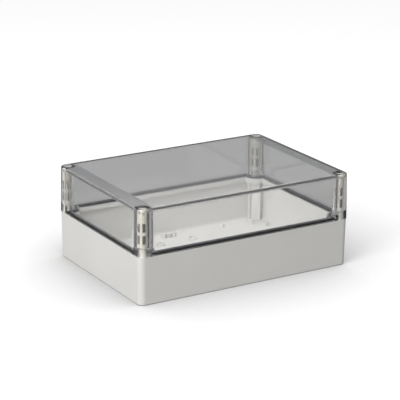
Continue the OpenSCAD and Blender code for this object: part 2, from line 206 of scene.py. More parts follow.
@dataclass(frozen=True)
class DraftedBox:
    """A round-cornered box whose sides lean inward, as a mould needs them.

    The half sizes and the corner radius hold where a lean is 0.
    """

    half_x: float
    half_y: float
    low_z: float
    high_z: float
    corner_r: float
    low_edge_r: float = 0.0
    high_edge_r: float = 0.0
    low_lean: float = 0.0
    high_lean: float = 0.0
    corner_steps: int = 12
    edge_steps: int = 8

    def mesh(self) -> BMesh:
        """Model the box.

        Returns:
            A closed mesh.
        """
        bm = bmesh.new()
        add_block(bm, (-self.half_x, -self.half_y, self.low_z), (self.half_x, self.half_y, self.high_z))
        upright = [e for e in bm.edges if abs(e.verts[0].co.z - e.verts[1].co.z) > TOUCH]
        bevel_edges(bm, upright, self.corner_r, self.corner_steps)
        for z, radius in ((self.low_z, self.low_edge_r), (self.high_z, self.high_edge_r)):
            rim = [e for e in bm.edges if all(abs(v.co.z - z) < TOUCH for v in e.verts)]
            if radius:
                bevel_edges(bm, rim, radius, self.edge_steps)
        for vert in bm.verts:
            share = (vert.co.z - self.low_z) / (self.high_z - self.low_z)
            lean = self.low_lean + (self.high_lean - self.low_lean) * share
            vert.co.x *= 1.0 - lean / self.half_x
            vert.co.y *= 1.0 - lean / self.half_y
        return bm


@dataclass(frozen=True)
class SealRoute:
    """The gasket's way round the box: straight sides, and a bend inward round each corner screw.

    Distances run inward from the gasket's outer edge.
    """

    half_x: float
    half_y: float
    screw_x: float
    screw_y: float
    inset: float = 2.8
    screw_r: float = 8.6
    bend_r: float = 4.0
    tight_bend_r: float = 0.5
    gasket_w: float = 3.0
    lip: float = 1.6
    bend_steps: int = 10
    round_steps: int = 16
    merge: float = 0.0001

    @property
    def inner(self) -> float:
        """Distance of the lips' inner edge."""
        return self.gasket_w + self.lip

    def _quarter(self, bm: BMesh, distance: float) -> None:
        """Draw the route's first quarter, from the +X side round to the +Y side.

        Args:
            bm: Mesh that receives the edges.
            distance: Distance inward.
        """
        reach_x = self.half_x - self.inset - distance
        reach_y = self.half_y - self.inset - distance
        bend_r = max(self.bend_r - distance, self.tight_bend_r)
        arm = self.screw_r + distance + bend_r
        across = reach_x - bend_r - self.screw_x
        along = math.sqrt(arm * arm - across * across)
        lean = math.asin(across / arm)
        vert = bm.verts.new((reach_x, 0.0, 0.0))
        vert = self._line(bm, vert, (reach_x, self.screw_y - along))
        bend = math.pi / 2 + lean
        vert = self._arc(bm, vert, (reach_x - bend_r, self.screw_y - along), bend, self.bend_steps)
        vert = self._arc(bm, vert, (self.screw_x, self.screw_y), -bend - lean, self.round_steps)
        vert = self._arc(bm, vert, (self.screw_x - along, reach_y - bend_r), bend, self.bend_steps)
        self._line(bm, vert, (0.0, reach_y))

    @staticmethod
    def _line(bm: BMesh, vert: BMVert, end: tuple[float, float]) -> BMVert:
        """Draw a straight stretch.

        Args:
            bm: Mesh that receives it.
            vert: Vertex where it starts.
            end: Place in plan where it ends.

        Returns:
            The vertex at its end.
        """
        new = bmesh.ops.extrude_vert_indiv(bm, verts=[vert])["verts"][0]
        new.co = (end[0], end[1], 0.0)
        return new

    @staticmethod
    def _arc(bm: BMesh, vert: BMVert, centre: tuple[float, float], angle: float, steps: int) -> BMVert:
        """Draw a round stretch.

        Args:
            bm: Mesh that receives it.
            vert: Vertex where it starts.
            centre: Place in plan that it bends about.
            angle: How far it turns.
            steps: Straight steps that make it up.

        Returns:
            The vertex at its end.
        """
        spun = bmesh.ops.spin(bm, geom=[vert], cent=(centre[0], centre[1], 0.0), axis=(0.0, 0.0, 1.0),
                              angle=angle, steps=steps, use_merge=False)
        return next(g for g in spun["geom_last"] if isinstance(g, BMVert))

    def _loops(self, *distances: float) -> BMesh:
        """Draw the whole route once at each distance.

        Args:
            *distances: Distances inward.

        Returns:
            A mesh of edges alone.
        """
        bm = bmesh.new()
        for distance in distances:
            self._quarter(bm, distance)
        for axis in ("X", "Y"):
            bmesh.ops.mirror(bm, geom=bm.verts[:] + bm.edges[:], matrix=Matrix.Identity(4),
                             merge_dist=self.merge, axis=axis)
        bmesh.ops.remove_doubles(bm, verts=bm.verts[:], dist=self.merge)
        return bm

    def band(self, near: float, far: float, low_z: float, high_z: float) -> BMesh:
        """Model a closed band along the route.

        Args:
            near: Distance of its outer side.
            far: Distance of its inner side.
            low_z: Height of its underside.
            high_z: Height of its top.

        Returns:
            A closed mesh.
        """
        bm = self._loops(near, far)
        bmesh.ops.bridge_loops(bm, edges=bm.edges[:])
        return self._raise(bm, low_z, high_z)

    def slab(self, distance: float, low_z: float, high_z: float) -> BMesh:
        """Model everything inside the route, as a closed slab.

        Args:
            distance: Distance of its side.
            low_z: Height of its underside.
            high_z: Height of its top.

        Returns:
            A closed mesh.
        """
        bm = self._loops(distance)
        bmesh.ops.edgeloop_fill(bm, edges=bm.edges[:])
        return self._raise(bm, low_z, high_z)

    @staticmethod
    def _raise(bm: BMesh, low_z: float, high_z: float) -> BMesh:
        """Give flat faces at height 0 a thickness.

        Args:
            bm: The faces.
            low_z: Height of the underside.
            high_z: Height of the top.

        Returns:
            The same mesh, closed.
        """
        raised = bmesh.ops.extrude_face_region(bm, geom=bm.faces[:])["geom"]
        tops = [g for g in raised if isinstance(g, BMVert)]
        bmesh.ops.translate(bm, verts=tops, vec=(0.0, 0.0, high_z - low_z))
        bmesh.ops.translate(bm, verts=bm.verts[:], vec=(0.0, 0.0, low_z))
        bmesh.ops.recalc_face_normals(bm, faces=bm.faces[:])
        return bm


class Workpiece:
    """A solid that is carved in millimetres and then finished as a piece in metres."""

    merge: float = 0.0005
    face_weight: int = 100

    def __init__(self, name: str, bm: BMesh) -> None:
        """Start from a closed mesh.

        Args:
            name: Name of the piece.
            bm: Its first shape, which is used up.
        """
        self.name = name
        self.obj = self._place(name, bm)

    @staticmethod
    def _place(name: str, bm: BMesh) -> Object:
        """Put a mesh into the scene as an object of its own.

        Args:
            name: Name of the object.
            bm: Closed mesh, which is used up.

        Returns:
            The object.
        """
        bmesh.ops.recalc_face_normals(bm, faces=bm.faces[:])
        mesh = bpy.data.meshes.new(name)
        bm.to_mesh(mesh)
        bm.free()
        obj = bpy.data.objects.new(name, mesh)
        bpy.context.scene.collection.objects.link(obj)
        return obj

    def carve(self, how: Carve, tool: BMesh) -> "Workpiece":
        """Add a tool's shape to the solid, or take it away.

        Args:
            how: What the tool does.
            tool: Closed mesh, which is used up.

        Returns:
            The same workpiece, for the next cut.
        """
        tool_obj = self._place("tool", tool)
        step = self.obj.modifiers.new("step", "BOOLEAN")
        step.operation = how.value
        step.solver = "EXACT"
        step.object = tool_obj
        graph = bpy.context.evaluated_depsgraph_get()
        mesh = bpy.data.meshes.new_from_object(self.obj.evaluated_get(graph))
        self.obj.modifiers.clear()
        worn, self.obj.data = self.obj.data, mesh
        bpy.data.meshes.remove(worn)
        bpy.data.objects.remove(tool_obj)
        return self

    def take(self) -> BMesh:
        """Turn the workpiece back into a tool for another one.

        Returns:
            Its mesh. The object is gone.
        """
        bm = bmesh.new()
        bm.from_mesh(self.obj.data)
        bpy.data.objects.remove(self.obj)
        return bm

    def finish(self, material: Material, edge_r: float, edge_steps: int = 2,
               sharp_deg: float = 32.0) -> Object:
        """Clean the mesh, scale it to metres, round its crisp edges and dress it.

        Args:
            material: What it is made of.
            edge_r: Radius of its crisp edges, in millimetres, or 0 to leave them.
            edge_steps: Faces across such an edge.
            sharp_deg: Angle past which an edge is crisp.

        Returns:
            The finished object.
        """
        bm = bmesh.new()
        bm.from_mesh(self.obj.data)
        bmesh.ops.remove_doubles(bm, verts=bm.verts[:], dist=self.merge)
        bmesh.ops.dissolve_degenerate(bm, edges=bm.edges[:], dist=self.merge)
        bmesh.ops.scale(bm, vec=(MM, MM, MM), verts=bm.verts[:])
        for face in bm.faces:
            face.smooth = True
        bm.to_mesh(self.obj.data)
        bm.free()
        mesh = self.obj.data
        mesh.name = self.name
        mesh.materials.clear()
        mesh.materials.append(material)
        if edge_r:
            edge = self.obj.modifiers.new("crisp edges", "BEVEL")
            edge.width = edge_r * MM
            edge.segments = edge_steps
            edge.limit_method = "ANGLE"
            edge.angle_limit = math.radians(sharp_deg)
            edge.use_clamp_overlap = False
            edge.harden_normals = False
        else:
            mesh.set_sharp_from_angle(angle=math.radians(sharp_deg))
        shade = self.obj.modifiers.new("flat faces stay flat", "WEIGHTED_NORMAL")
        shade.keep_sharp = True
        shade.weight = self.face_weight
        return self.obj


def dress(obj: Object, body: str, slot: str, *nodes: str) -> None:
    """Tie a finished piece to the frame.

    Args:
        obj: The piece.
        body: The body that it moves with.
        slot: Not used.
        *nodes: The solids that it stands for.
    """
    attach(obj, body)
    if nodes:
        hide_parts(*nodes)
    LOG.info("%s rides on %s, %d faces", obj.name, body, len(obj.data.polygons))


# ---- finishes -----------------------------------------------------------------------------------------


def srgb(code: str) -> tuple[float, float, float, float]:
    """Turn a hex colour into the linear values that a shader takes.

    Args:
        code: Colour such as "#C8C8C4".

    Returns:
        Linear red, green and blue, and an alpha of 1.
    """
    channels = [int(code[i:i + 2], 16) / 255 for i in (1, 3, 5)]
    red, green, blue = (c / 12.92 if c <= 0.04045 else ((c + 0.055) / 1.055) ** 2.4 for c in channels)
    return red, green, blue, 1.0


def per_metre(size_mm: float) -> float:
    """Scale of a texture whose features are the given size in millimetres."""
    return 1.0 / (size_mm * MM)


def add_node(owner: Material | World, kind: str, inputs: dict[str | int, object] | None = None,
             **settings: object) -> Node:
    """Add a node with its settings and links.

    Args:
        owner: Material or world that receives the node.
        kind: Blender's name of the node's type.
        inputs: For an input's name or number, a value, an output socket, or a node whose first output
            feeds it.
        **settings: Properties of the node.

    Returns:
        The new node.
    """
    tree = owner.node_tree
    node = tree.nodes.new(kind)
    for name, value in settings.items():
        setattr(node, name, value)
    for name, value in (inputs or {}).items():
        if isinstance(value, Node):
            value = value.outputs[0]
        if isinstance(value, NodeSocket):
            tree.links.new(value, node.inputs[name])
        else:
            node.inputs[name].default_value = value
    return node


def blank_material(name: str) -> Material:
    """Make a material with no nodes in it.

    Args:
        name: What it is made of.

    Returns:
        The material.
    """
    material = bpy.data.materials.new(name)
    material.use_nodes = True
    material.node_tree.nodes.clear()
    return material


def show(material: Material, **shaders: Node) -> Material:
    """Lead shaders to the material's output.

    Args:
        material: Material that shows them.
        **shaders: The node for each of the output's inputs, Surface or Volume.

    Returns:
        The material.
    """
    add_node(material, "ShaderNodeOutputMaterial", shaders)
    return material


@dataclass(frozen=True)
class Grain:
    """Fine relief of a moulded or machined surface."""

    size_mm: float
    depth_mm: float
    detail: float = 2.0

    def normal(self, made: Material, place: NodeSocket) -> Node:
        """Build the relief.

        Args:
            made: Material that receives the nodes.
            place: Coordinates that the relief follows.

        Returns:
            The node whose normal a shader takes.
        """
        noise = add_node(made, "ShaderNodeTexNoise", {
            "Vector": place, "Scale": per_metre(self.size_mm), "Detail": self.detail})
        return add_node(made, "ShaderNodeBump", {
            "Height": noise, "Distance": self.depth_mm * MM, "Strength": 1.0})


@dataclass(frozen=True)
class Moulding:
    """An injection-moulded plastic: a slightly varied colour, grain from the mould and a low gloss."""

    name: str
    light: str
    dark: str
    cloud_mm: float
    roughness: tuple[float, float]
    grain: Grain
    ior: float
    cloud_detail: float = 3.0
    cloud_range: tuple[float, float] = (0.3, 0.7)

    def build(self) -> Material:
        """Build the material.

        Returns:
            The material.
        """
        made = blank_material(self.name)
        place = add_node(made, "ShaderNodeTexCoord").outputs["Object"]
        cloud = add_node(made, "ShaderNodeTexNoise", {
            "Vector": place, "Scale": per_metre(self.cloud_mm), "Detail": self.cloud_detail})
        tone = add_node(made, "ShaderNodeMix", {
            "Factor": cloud, "A": srgb(self.dark), "B": srgb(self.light)}, data_type="RGBA")
        gloss = add_node(made, "ShaderNodeMapRange", {
            "Value": cloud, "From Min": self.cloud_range[0], "From Max": self.cloud_range[1],
            "To Min": self.roughness[0], "To Max": self.roughness[1]})
        plastic = add_node(made, "ShaderNodeBsdfPrincipled", {
            "Base Color": self.shade(made, place, tone.outputs["Result"]), "Roughness": gloss,
            "IOR": self.ior, "Normal": self.grain.normal(made, place)})
        return show(made, Surface=plastic)

    def shade(self, made: Material, place: NodeSocket, tone: NodeSocket) -> NodeSocket:
        """Give the whole piece one colour. A finish that changes from place to place replaces this."""
        return tone


@dataclass(frozen=True)
class MouldingWithPaintedShade(Moulding):
    """A moulding for the corner screws, with painted shade: a darker colour in their cored shanks than
    outside.
    """

    # The painted shade: its colour, the radii where it starts and where it is full, and the head that it
    # stops below.
    inner: str = "#98948B"
    inner_r_mm: float = 4.4
    outer_r_mm: float = 5.2
    head_mm: float = 13.0

    def shade(self, made: Material, place: NodeSocket, tone: NodeSocket) -> NodeSocket:
        """Paint shade, a darker colour, on what lies near a screw's axis, from the barrel's foot up to
        its head.

        Args:
            made: Material that receives the nodes.
            place: The pieces' own coordinates.
            tone: Colour of the outside.

        Returns:
            The colour of both.
        """
        foot, top = box_mm("rear_right_screw_barrel")
        axis = (foot + top) / 2 * MM
        quarter = add_node(made, "ShaderNodeVectorMath", {0: place}, operation="ABSOLUTE")
        away = add_node(made, "ShaderNodeVectorMath", {0: quarter, 1: axis}, operation="SUBTRACT")
        flat = add_node(made, "ShaderNodeVectorMath", {0: away, 1: (1.0, 1.0, 0.0)},
                        operation="MULTIPLY")
        reach = add_node(made, "ShaderNodeVectorMath", {0: flat}, operation="LENGTH")
        inside = add_node(made, "ShaderNodeMapRange", {
            "Value": reach.outputs["Value"], "From Min": self.outer_r_mm * MM,
            "From Max": self.inner_r_mm * MM})
        height = add_node(made, "ShaderNodeSeparateXYZ", {"Vector": place}).outputs["Z"]
        above = add_node(made, "ShaderNodeMath", {0: height, 1: foot.z * MM}, operation="GREATER_THAN")
        below = add_node(made, "ShaderNodeMath", {0: height, 1: (top.z - self.head_mm) * MM},
                         operation="LESS_THAN")
        shank = add_node(made, "ShaderNodeMath", {0: above, 1: below}, operation="MULTIPLY")
        # Painted shade: the colour darkens inside the shank's hollows, near the axis.
        painted_shade = add_node(made, "ShaderNodeMath", {0: inside, 1: shank}, operation="MULTIPLY")
        mixed = add_node(made, "ShaderNodeMix", {"Factor": painted_shade, "A": tone, "B": srgb(self.inner)},
                         data_type="RGBA")
        return mixed.outputs["Result"]


@dataclass(frozen=True)
class ClearPolycarbonate:
    """Polished clear polycarbonate with a faint blue body colour and some satin places.

    It bends what lies behind it, and lets the lamps' light through to what it covers. It is satin under
    the two ends of its top, along its long rims and, less so, at its corners' feet. Under the two ends
    it is also greyed, as painted shade.
    """

    name: str = "clear polycarbonate, polished mould"
    body_tint: str = "#2F5171"
    body_density: float = 10.0
    lamp_tint: str = "#DCDCDC"
    ior: float = 1.585
    end_satin: float = 0.32
    end_painted_shade: str = "#C9CBD2"
    end_from_mm: float = 110.5
    end_edge_mm: float = 3.0
    roof_mm: float = 2.9
    roof_reach_mm: float = 0.3
    rim_satin: float = 0.45
    rim_mm: float = 3.6
    rim_upright: float = 0.8
    foot_share: float = 0.75
    foot_mm: float = 9.0
    corner_mm: float = 14.0
    wave: Grain = Grain(size_mm=38.0, depth_mm=0.02, detail=1.0)

    def build(self) -> Material:
        """Build the material.

        Returns:
            The material.
        """
        made = blank_material(self.name)
        coords = add_node(made, "ShaderNodeTexCoord")
        place = add_node(made, "ShaderNodeVectorMath", {0: coords.outputs["Object"]},
                         operation="ABSOLUTE")
        quarter = add_node(made, "ShaderNodeSeparateXYZ", {"Vector": place})
        ends = self._ends(made, quarter)
        rims = self._rims(made, quarter, coords.outputs["Normal"])
        rough = add_node(made, "ShaderNodeMath", {0: ends, 1: self.end_satin}, operation="MULTIPLY")
        rough = add_node(made, "ShaderNodeMath", {0: rims, 1: self.rim_satin, 2: rough},
                         operation="MULTIPLY_ADD")
        # Painted shade: the glass is greyed under the top's two ends.
        painted_end_shade = add_node(made, "ShaderNodeMix", {
            "Factor": ends, "A": srgb("#FFFFFF"), "B": srgb(self.end_painted_shade)}, data_type="RGBA")
        glass = add_node(made, "ShaderNodeBsdfPrincipled", {
            "Base Color": painted_end_shade.outputs["Result"], "Roughness": rough, "IOR": self.ior,
            "Transmission Weight": 1.0, "Normal": self.wave.normal(made, coords.outputs["Object"])})
        lamp_way = add_node(made, "ShaderNodeBsdfTransparent", {"Color": srgb(self.lamp_tint)})
        rays = add_node(made, "ShaderNodeLightPath")
        either = add_node(made, "ShaderNodeMixShader", {
            "Fac": rays.outputs["Is Shadow Ray"], 1: glass, 2: lamp_way})
        body = add_node(made, "ShaderNodeVolumeAbsorption", {
            "Color": srgb(self.body_tint), "Density": self.body_density})
        return show(made, Surface=either, Volume=body)

    def _ends(self, made: Material, quarter: Node) -> Node:
        """Find the top's underside near the two short sides.

        Args:
            made: Material that receives the nodes.
            quarter: The piece's coordinates, with their signs left out.

        Returns:
            The node that gives 1 there.
        """
        far = add_node(made, "ShaderNodeMapRange", {
            "Value": quarter.outputs["X"], "From Min": (self.end_from_mm - self.end_edge_mm) * MM,
            "From Max": self.end_from_mm * MM})
        under = add_node(made, "ShaderNodeMath", {
            0: quarter.outputs["Z"], 1: CAD_BOX[1][2] - self.roof_mm * MM, 2: self.roof_reach_mm * MM},
            operation="COMPARE")
        return add_node(made, "ShaderNodeMath", {0: far, 1: under}, operation="MULTIPLY")

    def _rims(self, made: Material, quarter: Node, facing: NodeSocket) -> Node:
        """Find the upright faces at the long sides' upper rims, and the corners' feet.

        Args:
            made: Material that receives the nodes.
            quarter: The piece's coordinates, with their signs left out.
            facing: The way that its faces look.

        Returns:
            The node that gives 1 at the rims and the feet's share at the feet.
        """
        half_x, half_y, top = CAD_BOX[1]
        foot = box_mm("cover_shell")[0].z + self.foot_mm
        steep = add_node(made, "ShaderNodeVectorMath", {0: facing}, operation="ABSOLUTE")
        steep = add_node(made, "ShaderNodeSeparateXYZ", {"Vector": steep})
        tests = (("rim", quarter.outputs["Z"], "GREATER_THAN", top - self.rim_mm * MM),
                 ("rim", steep.outputs["Z"], "LESS_THAN", self.rim_upright),
                 ("rim", quarter.outputs["Y"], "GREATER_THAN", half_y - self.rim_mm * MM),
                 ("foot", quarter.outputs["X"], "GREATER_THAN", half_x - self.corner_mm * MM),
                 ("foot", quarter.outputs["Y"], "GREATER_THAN", half_y - self.corner_mm * MM),
                 ("foot", quarter.outputs["Z"], "LESS_THAN", foot * MM))
        found = {"rim": 1.0, "foot": self.foot_share}
        for zone, value, side, limit in tests:
            met = add_node(made, "ShaderNodeMath", {0: value, 1: limit}, operation=side)
            found[zone] = add_node(made, "ShaderNodeMath", {0: met, 1: found[zone]},
                                   operation="MULTIPLY")
        return add_node(made, "ShaderNodeMath", {0: found["rim"], 1: found["foot"]},
                        operation="MAXIMUM")


@dataclass(frozen=True)
class TurnedMetal:
    """A metal turned or ground on a lathe: fine rings across its length."""

    name: str
    colour: str
    roughness: float
    ring_mm: float
    ring_depth_mm: float = 0.01
    waver: float = 0.4

    def build(self) -> Material:
        """Build the material.

        Returns:
            The material.
        """
        made = blank_material(self.name)
        place = add_node(made, "ShaderNodeTexCoord").outputs["Object"]
        rings = add_node(made, "ShaderNodeTexWave", {
            "Vector": place, "Scale": per_metre(self.ring_mm) / (2 * math.pi), "Distortion": self.waver},
            bands_direction="Z")
        bump = add_node(made, "ShaderNodeBump", {
            "Height": rings.outputs["Fac"], "Distance": self.ring_depth_mm * MM})
        metal = add_node(made, "ShaderNodeBsdfPrincipled", {
            "Base Color": srgb(self.colour), "Metallic": 1.0, "Roughness": self.roughness,
            "Normal": bump})
        return show(made, Surface=metal)


# Polycarbonate coloured light grey, out of a spark-eroded mould: an even fine grain and a soft sheen.
BASE_GREY = Moulding("light grey polycarbonate, spark-eroded mould", "#DAD9D6", "#D4D3D0", 45.0,
                     (0.40, 0.5), Grain(0.45, 0.012), 1.585)
# Closed-cell foam, cast into the groove: matt, with fine pores.
FOAM = Moulding("black closed-cell foam, cast", "#17171A", "#0F0F11", 2.0,
                (0.75, 0.9), Grain(0.5, 0.08, 4.0), 1.5)
# Natural polyamide without pigment: cream and softly glossy, with painted shade in the screws' cored
# shanks.
POLYAMIDE = MouldingWithPaintedShade("natural polyamide, moulded", "#D6D2C9", "#CDC8BD", 6.0,
                          (0.32, 0.42), Grain(0.4, 0.01), 1.53)
# Clear polycarbonate out of a polished mould: it bends and mirrors, and its thick edges look grey-blue.
CLEAR = ClearPolycarbonate()
# Brass off the lathe: a warm yellow metal with rings that the tool leaves.
BRASS = TurnedMetal("brass, turned", "#C8A45C", 0.28, 0.25)
# Stainless steel, ground between centres: a neutral metal with finer rings.
STEEL = TurnedMetal("stainless steel, ground", "#B9B9BB", 0.3, 0.2)


@dataclass
class Finishes:
    """The finished materials, each made once."""

    base: Material = field(default_factory=BASE_GREY.build)
    clear: Material = field(default_factory=CLEAR.build)
    foam: Material = field(default_factory=FOAM.build)
    polyamide: Material = field(default_factory=POLYAMIDE.build)
    brass: Material = field(default_factory=BRASS.build)
    steel: Material = field(default_factory=STEEL.build)


# ---- the enclosure ------------------------------------------------------------------------------------


@dataclass(frozen=True)
class Layout:
    """Heights and places that the frame's solids give, in millimetres."""

    half_x: float
    half_y: float
    cover_z: float
    top_z: float
    rim_z: float
    gasket_z: float
    gasket_top_z: float
    screw_x: float
    screw_y: float
    barrel_z: float
    barrel_top_z: float

    @classmethod
    def measure(cls, tongue_h: float) -> "Layout":
        """Measure the frame.

        Args:
            tongue_h: How far the base's tongue stands above its rim.

        Returns:
            The layout.
        """
        cover_low, cover_high = box_mm("cover_shell")
        gasket_low, gasket_high = box_mm("gasket")
        barrel_low, barrel_high = box_mm("rear_right_screw_barrel")
        axis = (barrel_low + barrel_high) / 2
        return cls(cover_high.x, cover_high.y, cover_low.z, cover_high.z,
                   box_mm("base_shell")[1].z - tongue_h, gasket_low.z, gasket_high.z,
                   axis.x, axis.y, barrel_low.z, barrel_high.z)

    def route(self) -> SealRoute:
        """The gasket's route."""
        return SealRoute(self.half_x, self.half_y, self.screw_x, self.screw_y)

    def screw(self, corner: Corner) -> tuple[float, float]:
        """Place of a corner screw's axis in plan."""
        return corner.value[0] * self.screw_x, corner.value[1] * self.screw_y

    def towers(self, radius: float, low_z: float, high_z: float) -> BMesh:
        """Model the four corner towers: round about the screw, and solid out to the corner.

        Args:
            radius: Radius about the screw's axis.
            low_z: Height of their foot.
            high_z: Height of their top.

        Returns:
            Four closed solids.
        """
        tower = Workpiece("towers", bmesh.new())
        for corner in Corner:
            x, y = self.screw(corner)
            far_x = corner.value[0] * (self.half_x + PAST)
            far_y = corner.value[1] * (self.half_y + PAST)
            rod, block = bmesh.new(), bmesh.new()
            add_rod(rod, (x, y), radius, low_z, high_z, segments=Faces.TOWER)
            add_block(block, (min(x, far_x), min(y, far_y), low_z),
                      (max(x, far_x), max(y, far_y), high_z))
            tower.carve(Carve.ADD, rod).carve(Carve.ADD, block)
        return tower.take()


@dataclass
class Base:
    """The grey moulded base."""

    layout: Layout
    finishes: Finishes
    wall: float = 3.0
    floor_t: float = 3.0
    draft: float = 0.6
    rim_step: float = 0.6
    corner_r: float = 7.0
    foot_edge_r: float = 1.0
    floor_fillet: float = 4.0
    band_h: float = 5.0
    tongue_h: float = 0.5
    tongue_w: float = 1.0
    tower_r: float = 7.4
    rib_t: float = 1.6
    bead_off: float = 6.0
    bead_reach: float = 7.4
    bead_r: float = 1.2
    bead_drop: float = 0.3
    fin_step: float = 0.02
    web_reach: float = 6.0
    web_depth: float = 3.0
    web_drop: float = 3.0
    channel_r: float = 5.0
    channel_floor_t: float = 6.0
    bush_r: float = 5.6
    front_bush_h: float = 4.5
    rear_bush_h: float = 6.0
    hole_r: float = 2.4
    countersink_h: float = 1.8
    sink_step: float = 0.01
    plate_posts: tuple[float, float] = (106.0, 71.0)
    side_posts: tuple[float, float] = (115.0, 55.0)
    post_r: float = 2.6
    post_h: float = 5.0
    pilot_r: float = 1.3
    pilot_depth: float = 4.0
    boss_xs: tuple[float, ...] = (-70.0, -6.7, 0.0, 6.7, 70.0)
    boss_y: float = 75.0
    boss_r: float = 2.6
    boss_h: float = 5.0
    ring_place: tuple[float, float] = (20.5, 57.0)
    ring_r: float = 4.8
    ring_wall: float = 1.2
    ring_h: float = 2.0
    edge_r: float = 0.25

    def build(self) -> None:
        """Model the base and tie it to the frame."""
        lay, route = self.layout, self.layout.route()
        half_x, half_y = lay.half_x - self.rim_step, lay.half_y - self.rim_step
        shell = Workpiece("base_moulding", DraftedBox(
            half_x, half_y, 0.0, lay.rim_z, self.corner_r - self.rim_step,
            low_edge_r=self.foot_edge_r, low_lean=self.draft).mesh())
        shell.carve(Carve.CUT, self._hollow(half_x, half_y))
        shell.carve(Carve.CUT, route.slab(route.inner, lay.rim_z - self.band_h - LAP,
                                          lay.rim_z + 2 * PAST))
        middle = route.gasket_w / 2
        shell.carve(Carve.ADD, route.band(middle - self.tongue_w / 2, middle + self.tongue_w / 2,
                                          lay.rim_z - 2 * LAP, lay.rim_z + self.tongue_h))
        for tool in self._corner_cuts():
            shell.carve(Carve.CUT, tool)
        post_top = self.floor_t + self.post_h
        shell.carve(Carve.CUT, self._posts(self.pilot_r, post_top - self.pilot_depth, post_top + PAST))
        dress(shell.finish(self.finishes.base, self.edge_r), "base", "base_grey", "base_shell")

    def _hollow(self, half_x: float, half_y: float) -> BMesh:
        """Model the space inside the walls, less the towers, ribs, posts and bosses that stand in it.

        Args:
            half_x: Half the length of the rim.
            half_y: Half the depth of the rim.

        Returns:
            The space as a closed solid.
        """
        high = self.layout.rim_z - self.band_h
        hollow = Workpiece("hollow", DraftedBox(
            half_x - self.wall, half_y - self.wall, self.floor_t, high, 2 * self.floor_fillet,
            low_edge_r=self.floor_fillet, low_lean=self.draft).mesh())
        hollow.carve(Carve.CUT, self._towers(high + PAST))
        for tool in self._ribs(high + PAST):
            hollow.carve(Carve.CUT, tool)
        hollow.carve(Carve.CUT, self._posts(self.post_r, 0.0, self.floor_t + self.post_h))
        bosses = bmesh.new()
        boss_top = self.floor_t + self.boss_h
        for x in self.boss_xs:
            for y in (-self.boss_y, self.boss_y):
                add_rod(bosses, (x, y), self.boss_r, 0.0, boss_top, segments=Faces.BOSS)
        hollow.carve(Carve.CUT, bosses)
        hollow.carve(Carve.CUT, self._rings())
        return hollow.take()

    def _towers(self, high: float) -> BMesh:
        """Model the corner towers, each with a flat recess between two upright beads on its inner side.

        Args:
            high: Height of the towers' top.

        Returns:
            The towers as closed solids.
        """
        recess, fins, beads = (bmesh.new() for _ in range(3))
        half_t = self.bead_r - self.fin_step
        for corner in Corner:
            x, y = self.layout.screw(corner)
            turn = Matrix.Translation((x, y, 0.0)) @ Matrix.Rotation(
                math.atan2(-corner.value[1], -corner.value[0]), 4, "Z")
            made = add_block(recess, (self.web_reach, -self.bead_off, self.floor_t),
                             (self.bead_reach + self.web_depth, self.bead_off, high - self.web_drop))
            bmesh.ops.transform(recess, matrix=turn, verts=made)
            for side in (-self.bead_off, self.bead_off):
                made = add_block(fins, (LAP, side - half_t, -LAP),
                                 (self.bead_reach, side + half_t, high - LAP))
                bmesh.ops.transform(fins, matrix=turn, verts=made)
                made = add_rod(beads, (self.bead_reach, side), self.bead_r, -PAST, high - self.bead_drop,
                               segments=Faces.BEAD)
                bmesh.ops.transform(beads, matrix=turn, verts=made)
        towers = Workpiece("base_towers", self.layout.towers(self.tower_r, 0.0, high))
        return towers.carve(Carve.CUT, recess).carve(Carve.ADD, fins).carve(Carve.ADD, beads).take()

    def _rings(self) -> BMesh:
        """Model the low ring bosses.

        Returns:
            The rings as closed solids.
        """
        outer, inner = bmesh.new(), bmesh.new()
        ring_top, inner_r = self.floor_t + self.ring_h, self.ring_r - self.ring_wall
        for corner in Corner:
            centre = corner.value[0] * self.ring_place[0], corner.value[1] * self.ring_place[1]
            add_rod(outer, centre, self.ring_r, 0.0, ring_top, segments=Faces.RING)
            add_rod(inner, centre, inner_r, -PAST, ring_top + PAST, segments=Faces.RING)
        return Workpiece("rings", outer).carve(Carve.CUT, inner).take()

    def _ribs(self, high_z: float) -> list[BMesh]:
        """Model the upright ribs beside the towers.

        Args:
            high_z: Height of their top.

        Returns:
            The ribs that meet the short walls, then those that meet the long ones.
        """
        along_x, along_y = bmesh.new(), bmesh.new()
        off = self.tower_r - self.rib_t / 2
        for corner in Corner:
            x, y = self.layout.screw(corner)
            sx, sy = corner.value
            ends_x = sorted((x - sx * (off + self.rib_t), x - sx * off))
            ends_y = sorted((y - sy * self.rib_t, sy * self.layout.half_y))
            add_block(along_y, (ends_x[0], ends_y[0], 0.0), (ends_x[1], ends_y[1], high_z))
            ends_y = sorted((y - sy * (off + self.rib_t), y - sy * off))
            ends_x = sorted((x - sx * self.rib_t, sx * self.layout.half_x))
            add_block(along_x, (ends_x[0], ends_y[0], 0.0), (ends_x[1], ends_y[1], high_z))
        return [along_x, along_y]

    def _posts(self, radius: float, low_z: float, high_z: float) -> BMesh:
        """Model a rod at each post's place.

        Args:
            radius: Radius of the rods.
            low_z: Height of their foot.
            high_z: Height of their top.

        Returns:
            Eight closed solids.
        """
        bm = bmesh.new()
        for x, y in (self.plate_posts, self.side_posts):
            for corner in Corner:
                add_rod(bm, (corner.value[0] * x, corner.value[1] * y), radius, low_z, high_z,
                        segments=Faces.POST)
        return bm

